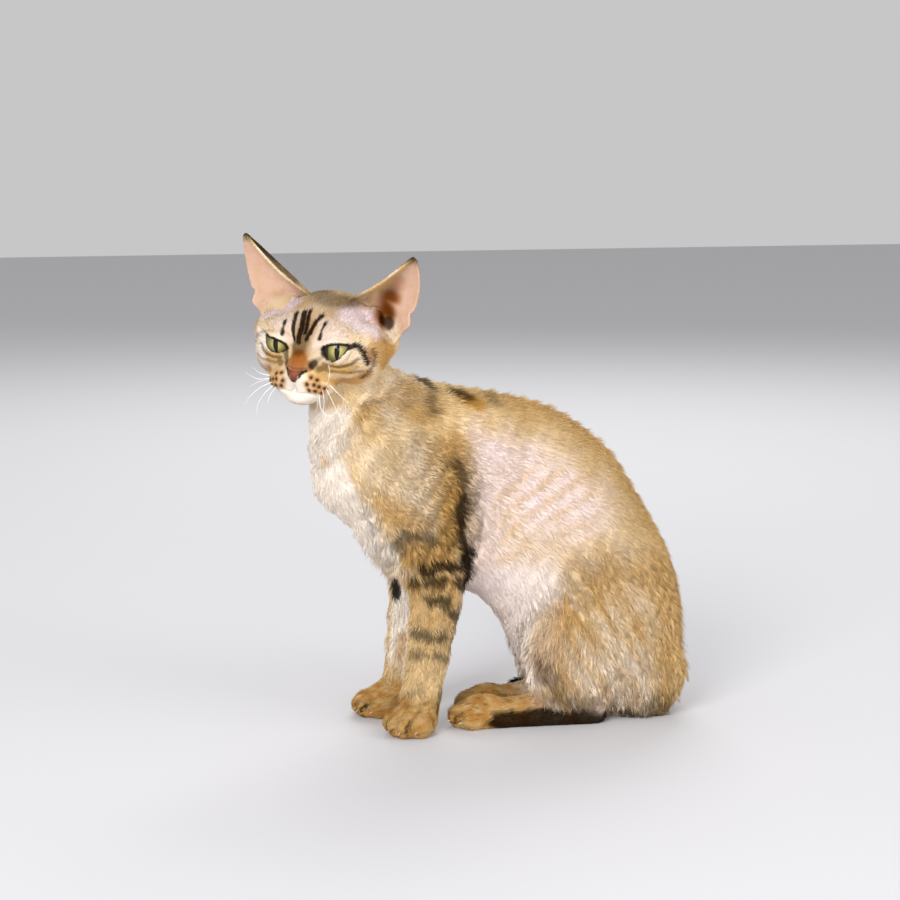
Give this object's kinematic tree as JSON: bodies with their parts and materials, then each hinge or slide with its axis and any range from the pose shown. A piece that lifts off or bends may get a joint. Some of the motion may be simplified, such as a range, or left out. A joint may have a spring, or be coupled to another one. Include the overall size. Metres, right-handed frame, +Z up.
{
  "type": "devon rex cat, sitting",
  "caption": "Life-size still model of a short-coated, large-eared cat that sits on the floor with its head turned to its left, for a display or a scene.",
  "frame": {"origin": "on the floor, under the middle of the cat's bounding box", "axes": "+Z is up; the body faces -X and its left side is towards -Y, with the head turned to its left"},
  "size_m": [0.3158, 0.1338, 0.3443],
  "materials": {
    "coat": "short wavy fur, ticked brown tabby on cream, lying close to the skin",
    "ear": "thin pink skin with down inside, short brown fur on the back",
    "eye": "wet, clear cornea over a yellow-green iris with a dark upright slit",
    "nose_leather": "brick-brown bare skin, finely pebbled, slightly moist",
    "lid": "dark moist skin of the lid rims and the lips",
    "whisker": "thin, stiff white hair, tapered and slightly glossy"
  },
  "bodies": {
    "root": {"head": "coat", "neck": "coat", "chest": "coat", "belly": "coat", "rump": "coat", "shoulder_left": "coat", "shoulder_right": "coat", "foreleg_left": "coat", "foreleg_right": "coat", "forepaw_left": "coat", "forepaw_right": "coat", "thigh_left": "coat", "thigh_right": "coat", "hindfoot_left": "coat", "hindfoot_right": "coat", "tail_base": "coat", "tail_middle": "coat", "tail_tip": "coat", "ear_left": "ear", "ear_right": "ear", "eye_left": "eye", "eye_right": "eye", "nose": "nose_leather"}
  },
  "joints": []
}
